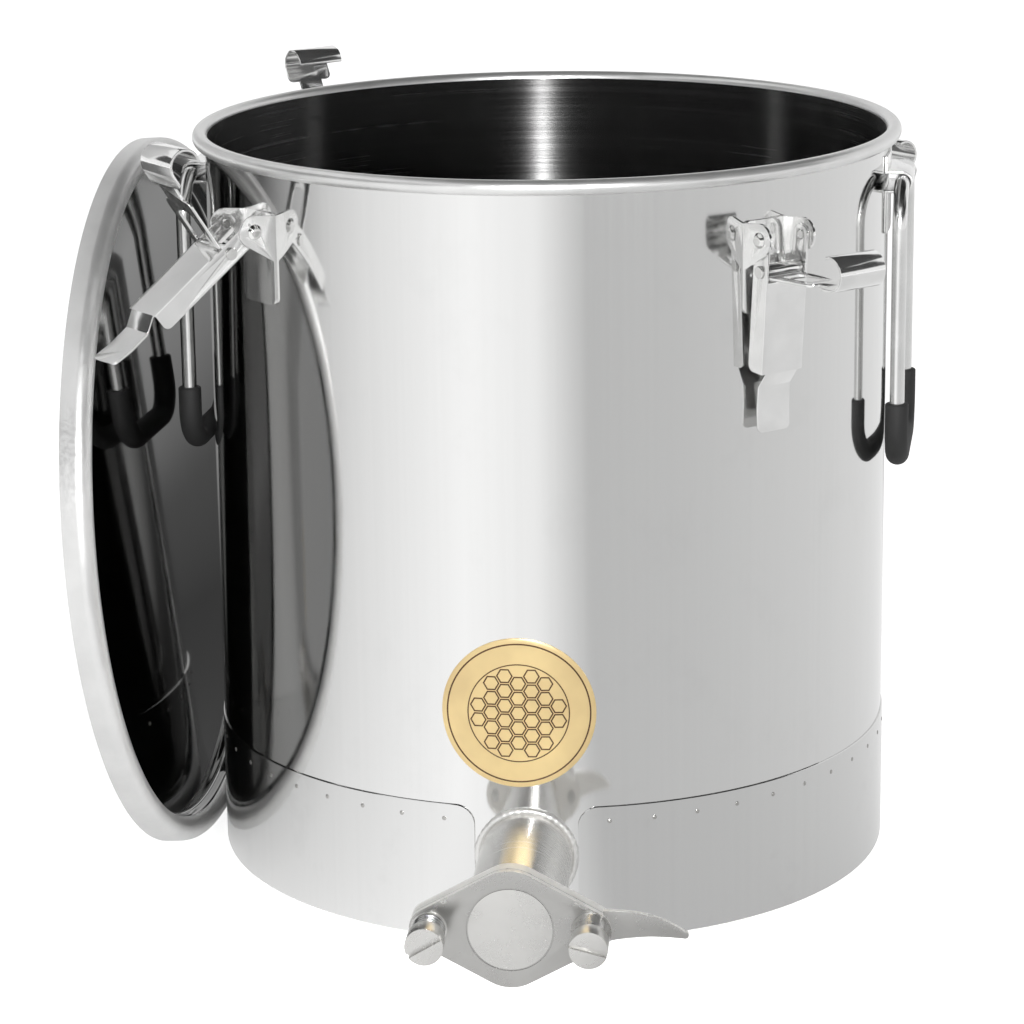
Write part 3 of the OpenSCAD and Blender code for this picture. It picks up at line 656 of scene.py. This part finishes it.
class TANK_OT_outlet(bpy.types.Operator):
    """Outlet pipe, its weld and the gate valve"""

    bl_idname = "settling_tank.outlet"
    bl_label = "Outlet and gate valve"

    def execute(self, context):
        look = looks().valve
        self.pipe(look)
        self.weld(look)
        self.valve(look)
        seal = finish_named("seal_rubber", grip_rubber, (0.09, 0.09, 0.085))
        add_piece("gate_seal_ring", broken_edges("gate_seal", 0.0003), "tank", ["gate_seal"],
                  "seal_rubber", seal)
        self.spring(look)
        return {"FINISHED"}

    def pipe(self, look):
        """The turned outlet pipe."""
        place = (Matrix.Translation((0, 0, look.height))
                 @ Matrix.Rotation(math.radians(90), 4, "X"))
        outer, inner = look.pipe / 2, look.pipe / 2 - look.pipe_wall
        start, end, chamfer = look.pipe_start, look.pipe_end, 0.0003
        outline = [
            (inner, start), (outer - chamfer, start), (outer, start + chamfer),
            (outer, end - chamfer), (outer - chamfer, end), (inner, end),
        ]
        steel = finish_named("pipe_turned", brushed_steel, shade(look.steel, 1.35), (0.2, 0.28),
                             0.8, (1.5, 900.0, 1.5), "Y")
        add_piece("outlet_tube", lathe("outlet_pipe", outline, 128, place), "tank",
                  ["outlet_pipe"], "fitting_steel", steel)

    def weld(self, look):
        """A bead that follows the pipe's root round the drum, with fine ripples."""
        wall = looks().drum.radius
        steps, bead, lift = 220, 0.0019, 0.0007
        hug = look.pipe / 2 + 0.0011
        path, radii = [], []
        for i in range(steps):
            a = 2 * math.pi * i / steps
            x, z = hug * math.cos(a), hug * math.sin(a)
            path.append((x, -math.sqrt(wall ** 2 - x * x) - lift, look.height + z))
            radii.append(bead + 0.00012 * math.sin(44 * a) + 0.00008 * math.sin(7 * a))
        finish = finish_named(
            "weld_bead", satin_steel, (0.74, 0.735, 0.72), (0.32, 0.42), 1200.0, 0.6)
        add_piece("outlet_weld_bead", sweep("outlet_weld", path, radii, 14, True), "tank",
                  ["outlet_weld"], "fitting_steel", finish)

    def valve(self, look):
        """Flange, gate and screws: painted shade darkens the front, painted light makes the edges
        and the back paler.
        """
        satin = ((0.27, 0.29), 260.0, 0.8)
        steel = finish_named("valve_satin", satin_steel, tuple(look.steel), *satin)
        # The valve steel darkened to 0.72: painted shade on the front faces.
        shaded_front = finish_named("valve_ground", satin_steel, shade(look.steel, 0.72), *satin)
        # A much lighter, nearly non-metallic copy: painted light on the edges and back.
        edge = finish_named(
            "valve_edge", satin_steel, shade(look.steel, 1.62), (0.3, 0.36), 260.0, 0.15)
        # Near-black painted shade for the engraved ring's groove.
        groove_shade = finish_named("gate_mark", satin_steel, (0.05, 0.048, 0.045), (0.4, 0.5))
        flange = broken_edges("valve_flange", 0.0009, 3)
        add_piece("valve_flange_turned", flange, "tank", ["valve_flange"], "fitting_steel",
                  shaded_front, edge)
        small = (("pivot_washer", 0.0002), ("clamp_screw", 0.0007),
                 ("clamp_cone", 0.0005), ("pivot_screw", 0.0007))
        for node, width in small:
            add_piece(node + "_turned", broken_edges(node, width, 3), "tank", [node],
                      "fitting_steel", steel)
        gate = broken_edges("gate_plate", 0.0007, 3)
        add_piece("gate_blade", gate, "gate", ["gate_plate"], "fitting_steel",
                  shaded_front, edge, groove_shade, steel)
        # Faces turned away from the front take the painted light finish; front faces keep the
        # painted shade.
        for mesh in (flange, gate):
            for face in mesh.polygons:
                face.material_index = int(face.normal.y > -0.5)
        self.ring(look, gate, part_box("gate_plate")[0].y)

    def ring(self, look, gate, front):
        """Painted shade in the engraved ring's groove, and the valve's own steel, without the
        front's painted shade, on the disc inside it.
        """
        middle, half_groove, skin, small = look.ring / 2, 0.0007, 0.001, 3e-6
        for face in gate.polygons:
            points = [gate.vertices[i].co for i in face.vertices]
            away = [math.hypot(p.x, p.z - look.height) for p in points]
            if face.center.y > front + skin or max(away) > middle + half_groove:
                continue
            # Groove faces: near-black painted shade; disc faces: the undarkened valve steel.
            if face.area < small and min(away) > middle - half_groove:
                face.material_index = 2
            elif max(away) < middle and face.normal.y < -0.5:
                face.material_index = 3

    def spring(self, look):
        """The open coil under the pivot screw's head."""
        wire, play = look.spring_wire / 2, 0.0001
        coil = look.spring_size / 2 - wire
        low = look.spring_start + wire + play
        rise = look.spring_end - wire - play - low
        steps = 40 * look.spring_turns
        path = []
        for i in range(steps + 1):
            a = 2 * math.pi * look.spring_turns * i / steps
            path.append((-look.screw_offset + coil * math.cos(a), -low - rise * i / steps,
                         look.height + coil * math.sin(a)))
        finish = finish_named("spring_wire", satin_steel, (0.5, 0.5, 0.49), (0.15, 0.26))
        add_piece("pivot_coil", sweep("pivot_spring", path, wire, 14), "tank", ["pivot_spring"],
                  "fitting_steel", finish)


class TANK_OT_badge(bpy.types.Operator):
    """Round honey-gold badge with two rings and a field of comb cells"""

    bl_idname = "settling_tank.badge"
    bl_label = "Badge"

    def execute(self, context):
        look = looks().badge
        self.disc(look)
        self.lines(look)
        return {"FINISHED"}

    def on_wall(self, look, x, z, lift):
        """A point of the badge, bent round the drum."""
        wall = looks().drum.radius + SEAT
        a, q = math.radians(look.turn) + x / wall, wall + lift
        return (q * math.sin(a), -q * math.cos(a), look.height + z)

    def polygon(self, radius, sides, cx=0.0, cz=0.0):
        turns = [2 * math.pi * k / sides for k in range(sides)]
        return [(cx + radius * math.cos(a), cz + radius * math.sin(a)) for a in turns]

    def disc(self, look):
        """The plain disc with its edge broken."""
        thick, sides = look.thickness, 120
        rings = [(share, thick) for share in (0.0, 0.25, 0.5, 0.7, 0.86, 0.93, 0.985)]
        rings += [(1.0, thick * 0.6), (1.0, 0.0), (0.0, 0.0)]
        verts = []
        for share, lift in rings:
            outline = self.polygon(share * (look.size / 2), sides)
            verts += [self.on_wall(look, x, z, lift) for x, z in outline]
        gold = finish_named("badge_gold", printed_badge, tuple(look.gold))
        disc = mesh_from("badge", verts, grid(len(rings), sides), 50.0)
        add_piece("badge_disc", disc, "tank", ["badge"], "badge_plate", gold)

    def lines(self, look):
        """Printed rings and comb cells, each a thin band between two outlines."""
        radius = look.size / 2
        bands = [(self.polygon(radius * a, 120), self.polygon(radius * b, 120))
                 for a, b in ((0.935, 0.915), (0.66, 0.645))]
        cell, field, most = radius * 0.115, radius * 0.54, 6
        for i in range(-most, most + 1):
            for j in range(-most, most + 1):
                cx = cell * 1.5 * i
                cz = cell * math.sqrt(3) * (j + (i % 2) / 2)
                if math.hypot(cx, cz) <= field:
                    bands.append([self.polygon(cell * s, 6, cx, cz) for s in (0.94, 0.76)])
        low, high = look.thickness * 0.98, look.thickness + look.print_lift
        verts, faces = [], []
        for outer, inner in bands:
            base, n = len(verts), len(outer)
            for line, lift in ((outer, low), (outer, high), (inner, high), (inner, low)):
                verts += [self.on_wall(look, x, z, lift) for x, z in line]
            faces += grid(4, n, True, base)
        brown = finish_named("badge_brown", printed_badge, tuple(look.line))
        add_piece("badge_print", mesh_from("badge_print", verts, faces, 30.0, 1e-8), "tank", [],
                  "badge_plate", brown)


class TANK_OT_handles(bpy.types.Operator):
    """Drop handles with their brackets and grip sleeves"""

    bl_idname = "settling_tank.handles"
    bl_label = "Handles"

    def execute(self, context):
        look = looks().handle
        loop, tube, sizes = self.outlines(look)
        rubber = finish_named("grip_rubber", grip_rubber, tuple(look.rubber))
        steel = fitting_finish()
        pivot = (0, -looks().drum.radius - look.pivot_out, look.pivot_height)
        for side, angle in SIDES.items():
            place = at_angle(angle + look.turn) @ Matrix.Translation(pivot)
            body = "handle_" + side
            path = [place @ Vector((x, 0, z)) for x, z in loop]
            add_piece(f"bail_{side}", sweep("handle_bail", path, look.bar / 2, 24, True), body,
                      [f"handle_bail_{side}"], "fitting_steel", steel)
            path = [place @ Vector((x, 0, z)) for x, z in tube]
            add_piece(f"grip_{side}", sweep("handle_grip", path, sizes, 28), body,
                      [f"handle_grip_{side}"], "grip_rubber", rubber)
            add_piece(f"bracket_{side}", broken_edges(f"handle_bracket_{side}", 0.0003), "tank",
                      [f"handle_bracket_{side}"], "fitting_steel", steel)
        return {"FINISHED"}

    def outlines(self, look):
        """The bar's closed loop, the sleeve's open line, and the sleeve's radius at each point."""
        out, drop = look.width / 2, look.drop
        upper = arc(out - look.top_bend, -look.top_bend, look.top_bend, 90, 0, 12)
        lower = arc(out - look.low_bend, look.low_bend - drop, look.low_bend, 0, -90, 14)
        top, low = upper[-1][1], lower[0][1]
        half = upper + [(out, top + (low - top) * k / 6) for k in range(1, 6)] + lower
        loop = half + [(k * lower[-1][0], -drop) for k in (0.5, 0.0, -0.5)]
        loop += [(-x, z) for x, z in reversed(half)]
        loop += [(k * upper[0][0], 0.0) for k in (-0.5, 0.0, 0.5)]
        lip, step = 0.0008, 0.0003
        end = look.grip_rise - drop
        sleeve = [(out, end), (out, end - step), (out, end - lip)] + lower
        tube = sleeve + [(k * lower[-1][0], -drop) for k in (0.6, 0.3, 0.0, -0.3, -0.6)]
        tube += [(-x, z) for x, z in reversed(sleeve)]
        sizes = [look.grip / 2] * len(tube)
        for k, less in enumerate((lip, step)):
            sizes[k] = sizes[-1 - k] = look.grip / 2 - less
        return loop, tube, sizes


class TANK_OT_latches(bpy.types.Operator):
    """Toggle latches: bases with ears, rivets, levers, pins and hooks"""

    bl_idname = "settling_tank.latches"
    bl_label = "Latches"

    def execute(self, context):
        steel = finish_named("latch_satin", satin_steel, shade(looks().drum.steel, 1.16),
                             (0.12, 0.16), 500.0, 0.92)
        bright = finish_named("pin_bright", satin_steel, (0.72, 0.72, 0.71), (0.08, 0.16))
        for name in LATCHES:
            rows = (
                ("base", "tank", 0.0003, steel),
                ("rivets", "tank", 0.0004, bright),
                ("lever", f"lever_{name}", 0.0003, steel),
                ("hook_pin", f"lever_{name}", 0.0004, bright),
                ("hook", f"hook_{name}", 0.0003, steel),
            )
            for kind, body, width, finish in rows:
                node = f"latch_{kind}_{name}"
                add_piece(f"clip_{kind}_{name}", broken_edges(node, width), body, [node],
                          "fitting_steel", finish)
        return {"FINISHED"}


class TANK_OT_lid(bpy.types.Operator):
    """The lid stood on its edge beside the drum, with the gasket in its channel"""

    bl_idname = "settling_tank.lid"
    bl_label = "Lid"

    def execute(self, context):
        look = looks().lid
        crown = (look.radius - look.well + look.sheet) / 2
        middle = (look.radius + look.well - look.sheet) / 2
        bend = look.height - crown
        upright = look.radius * math.cos(math.radians(look.lean))
        place = (
            at_angle(look.turn)
            @ Matrix.Translation((look.shift, -look.back, upright))
            @ Matrix.Rotation(math.radians(look.lean - 90), 4, "X")
        )
        self.pressing(look, place, crown, middle, bend)
        radius, edge = crown - look.sheet - SEAT, 0.001
        low = math.degrees(math.asin(edge / radius))
        ring = arc(middle, bend, radius, low, 180 - low, 20)
        rubber = finish_named("lid_gasket_rubber", grip_rubber, (0.09, 0.09, 0.085))
        add_piece("lid_seal", lathe("lid_gasket", ring, 160, place), "lid", ["lid_gasket"],
                  "seal_rubber", rubber)
        return {"FINISHED"}

    def pressing(self, look, place, crown, middle, bend):
        """The sheet: a skirt, a half-round crown and a sunken well."""
        t, corner, nick = look.sheet, 0.002, 0.001
        floor = look.height - look.depth
        inner = look.well - t
        steps = (0.0, 0.05, 0.1, 0.15)
        outline = [(look.radius - t, 0.0), (look.radius, 0.0)]
        outline += arc(middle, bend, crown, 0, 180, 24)
        outline += arc(inner - corner, floor + t + corner, corner, 0, -90, 6)
        outline += [(r, floor + t) for r in reversed(steps)] + [(r, floor) for r in steps]
        outline += [(look.well - nick, floor), (look.well, floor + nick)]
        outline += arc(middle, bend, crown - t, 180, 0, 20)
        # The skirt and crown take a lighter, less metallic copy of the lid's steel as painted
        # light; the well's face takes a copy darkened to 0.48 as painted shade.
        steel = finish_named(
            "lid_edge", satin_steel, shade(look.steel, 1.1), (0.3, 0.42), 500.0, 0.6)
        shaded_face = finish_named(
            "lid_face", polished_steel, shade(look.steel, 0.48), (0.03, 0.06))
        shell = lathe("lid_shell", outline, 288, place)
        add_piece("lid_pressing", shell, "lid", ["lid_shell"], "tank_steel", steel, shaded_face)
        centre = place.translation
        along = place.to_3x3() @ Vector((0, 0, 1))
        # Faces inside the well take the painted shade finish.
        for face in shell.polygons:
            offset = face.center - centre
            if (offset - along * offset.dot(along)).length < look.well - t * 0.5:
                face.material_index = 1


# Stage

def rectangle(width, height):
    """Points and face of a flat rectangle round the origin."""
    w, h = width / 2, height / 2
    return [(-w, -h, 0), (w, -h, 0), (w, h, 0), (-w, h, 0)], [(0, 1, 2, 3)]


def stage_sheet(name, verts, faces, place=Matrix.Identity(4), unseen=()):
    """A matte sheet of the stage that the named kinds of rays don't meet; gives its finish."""
    mesh = bpy.data.meshes.new(name)
    mesh.from_pydata(verts, [], faces)
    made = bpy.data.objects.new(name, mesh)
    made.matrix_world = place
    bpy.context.scene.collection.objects.link(made)
    finish = Finish(name)
    finish.fix("Roughness", 1.0)
    finish.fix("Specular IOR Level", 0.0)
    mesh.materials.append(finish.material)
    for kind in unseen:
        setattr(made, "visible_" + kind, False)
    return finish


def card(name, size, place, grey, glow=0.0, unseen=("camera", "shadow")):
    """A flat studio card that shows in the steel and not in the picture."""
    finish = stage_sheet(name, *rectangle(*size), place, unseen)
    finish.fix("Base Color", (grey, grey, grey, 1))
    finish.fix("Emission Color", (1, 1, 1, 1))
    finish.fix("Emission Strength", glow)


def facing(position, target):
    """A place whose local Z looks from a position to a target."""
    position, target = Vector(position), Vector(target)
    turn = (target - position).to_track_quat("Z", "Y").to_matrix().to_4x4()
    return Matrix.Translation(position) @ turn


def area_light(name, position, target, size, power):
    """A lamp that lights the part without showing in its steel."""
    light = bpy.data.lights.new(name, "AREA")
    light.shape = "RECTANGLE"
    light.size, light.size_y = size
    light.energy = power
    made = bpy.data.objects.new(name, light)
    made.matrix_world = facing(position, target) @ Matrix.Rotation(math.pi, 4, "X")
    made.visible_glossy = False
    bpy.context.scene.collection.objects.link(made)


def direct_rays(tree):
    """1 for rays from the camera and from mirrors, and 0 for the others."""
    path = tree.nodes.new("ShaderNodeLightPath")
    either = tree.nodes.new("ShaderNodeMath")
    either.operation = "MAXIMUM"
    tree.links.new(path.outputs["Is Camera Ray"], either.inputs[0])
    tree.links.new(path.outputs["Is Glossy Ray"], either.inputs[1])
    return either.outputs[0]


class TANK_OT_stage(bpy.types.Operator):
    """Pale floor, white surroundings, studio cards, lights and the camera"""

    bl_idname = "settling_tank.stage"
    bl_label = "Stage"

    def execute(self, context):
        look = looks().stage
        scene = context.scene
        scene.view_settings.view_transform = "Standard"
        self.surroundings(scene)
        self.floor(look)
        card("ceiling_card", (2.9, 3.6), Matrix.Translation((0.7, 0.2, 1.9)), 0.03)
        card("left_card", (1.8, 1.6), facing((-1.6, 1.4, 1.3), (-0.2, 0, 0.4)), 0.9)
        self.dark_ring()
        self.floor_sheen()
        foot = (0, 0, 0.2)
        area_light("key_light", (-1.6, -1.9, 1.5), foot, (1.6, 1.6), look.key_power)
        area_light("fill_light", (1.9, -1.2, 1.1), foot, (0.8, 1.2), look.fill_power)
        card("strip_card", (0.07, 0.3), facing((0.184, -1.75, 0.92), (0, 0.18, 0.36)), 0.0,
             look.strip_glow, ("camera", "shadow", "diffuse"))
        self.camera(scene, look)
        return {"FINISHED"}

    def surroundings(self, scene):
        """White to the camera and in the steel, and dimmer as light."""
        world = bpy.data.worlds.new("surroundings")
        scene.world = world
        world.use_nodes = True
        tree = world.node_tree
        level = tree.nodes.new("ShaderNodeMapRange")
        level.inputs["To Min"].default_value = 0.45
        level.inputs["To Max"].default_value = 1.0
        tree.links.new(direct_rays(tree), level.inputs["Value"])
        back = tree.nodes["Background"]
        back.inputs["Color"].default_value = (1, 1, 1, 1)
        tree.links.new(level.outputs["Result"], back.inputs["Strength"])

    def floor(self, look):
        """A white floor that keeps the part's shadow."""
        finish = stage_sheet("floor", *rectangle(12.0, 12.0))
        finish.fix("Base Color", (*look.floor, 1))
        finish.fix("Emission Color", (1, 1, 1, 1))
        glow = finish.spread(direct_rays(finish.tree), 0.0, 0.8, 0.0, 1.0)
        finish.feed("Emission Strength", glow)

    def dark_ring(self):
        """A dark curtain round the front, above the camera, that only the metal sees."""
        steps, far, low, high, half = 60, 2.4, 0.8, 1.95, 105
        verts = []
        for i in range(steps + 1):
            a = math.radians(2 * half * i / steps - half)
            verts += [(far * math.sin(a), -far * math.cos(a), z) for z in (low, high)]
        faces = [(2 * i, 2 * i + 2, 2 * i + 3, 2 * i + 1) for i in range(steps)]
        finish = stage_sheet("dark_ring", verts, faces, unseen=("camera", "diffuse", "shadow"))
        finish.fix("Base Color", (0.03, 0.03, 0.03, 1))

    def floor_sheen(self):
        """A thin ring above the floor that only the metal sees: bright on the left, grey right."""
        sides, inner, outer = 96, 0.02, 3.2
        turns = [2 * math.pi * k / sides for k in range(sides)]
        verts = [(q * math.cos(a), q * math.sin(a), 0) for q in (inner, outer) for a in turns]
        place = Matrix.Translation((0, 0, 0.0006)) @ at_angle(4.4 - 90)
        finish = stage_sheet("floor_sheen", verts, grid(2, sides), place,
                             ("camera", "diffuse", "transmission", "shadow"))
        finish.fix("Base Color", (0, 0, 0, 1))
        coordinates = finish.node("ShaderNodeTexCoord")
        round_axis = finish.node("ShaderNodeTexGradient", gradient_type="RADIAL")
        ramp = finish.node("ShaderNodeValToRGB")
        finish.join(coordinates.outputs["Object"], round_axis.inputs["Vector"])
        finish.join(round_axis.outputs["Fac"], ramp.inputs["Fac"])
        stops = ramp.color_ramp.elements
        while len(stops) < len(FLOOR_SHEEN):
            stops.new(0.5)
        for stop, (angle, level) in zip(stops, FLOOR_SHEEN):
            stop.position = 0.5 + angle / 360
            stop.color = (level, level, level, 1)
        finish.feed("Emission Color", ramp.outputs["Color"])
        finish.fix("Emission Strength", 1.32)

    def camera(self, scene, look):
        """Beside the valve's line, a little above the rim and slightly rolled."""
        level = math.cos(PITCH)
        ahead = Vector((-math.sin(YAW) * level, math.cos(YAW) * level, -math.sin(PITCH)))
        right = Vector((math.cos(YAW), math.sin(YAW), 0))
        up = right.cross(ahead)
        across = math.cos(ROLL) * right + math.sin(ROLL) * up
        upward = -math.sin(ROLL) * right + math.cos(ROLL) * up
        lens = bpy.data.cameras.new("camera")
        lens.sensor_width = SENSOR
        lens.lens = look.focal
        made = bpy.data.objects.new("camera", lens)
        turn = Matrix((across, upward, -ahead)).transposed().to_4x4()
        made.matrix_world = Matrix.Translation(EYE) @ turn
        scene.collection.objects.link(made)
        scene.camera = made


OPERATORS = (
    TANK_OT_drum, TANK_OT_skirt, TANK_OT_outlet, TANK_OT_badge,
    TANK_OT_handles, TANK_OT_latches, TANK_OT_lid, TANK_OT_stage,
)


class TANK_PT_panel(bpy.types.Panel):
    """Lists the builders of the settling tank"""

    bl_idname = "TANK_PT_panel"
    bl_label = "Honey Settling Tank"
    bl_space_type = "VIEW_3D"
    bl_region_type = "UI"
    bl_category = "Tank"

    def draw(self, context):
        for operator in OPERATORS:
            self.layout.operator(operator.bl_idname)


CLASSES = (
    DrumLook, ValveLook, BadgeLook, HandleLook, LidLook, StageLook, TankLooks,
    *OPERATORS, TANK_PT_panel,
)


def register():
    for made in CLASSES:
        bpy.utils.register_class(made)
    bpy.types.Scene.settling_tank = PointerProperty(type=TankLooks)


def unregister():
    del bpy.types.Scene.settling_tank
    for made in reversed(CLASSES):
        bpy.utils.unregister_class(made)


def main():
    register()
    for operator in OPERATORS:
        group, name = operator.bl_idname.split(".")
        getattr(getattr(bpy.ops, group), name)()


if __name__ == "__main__":
    main()
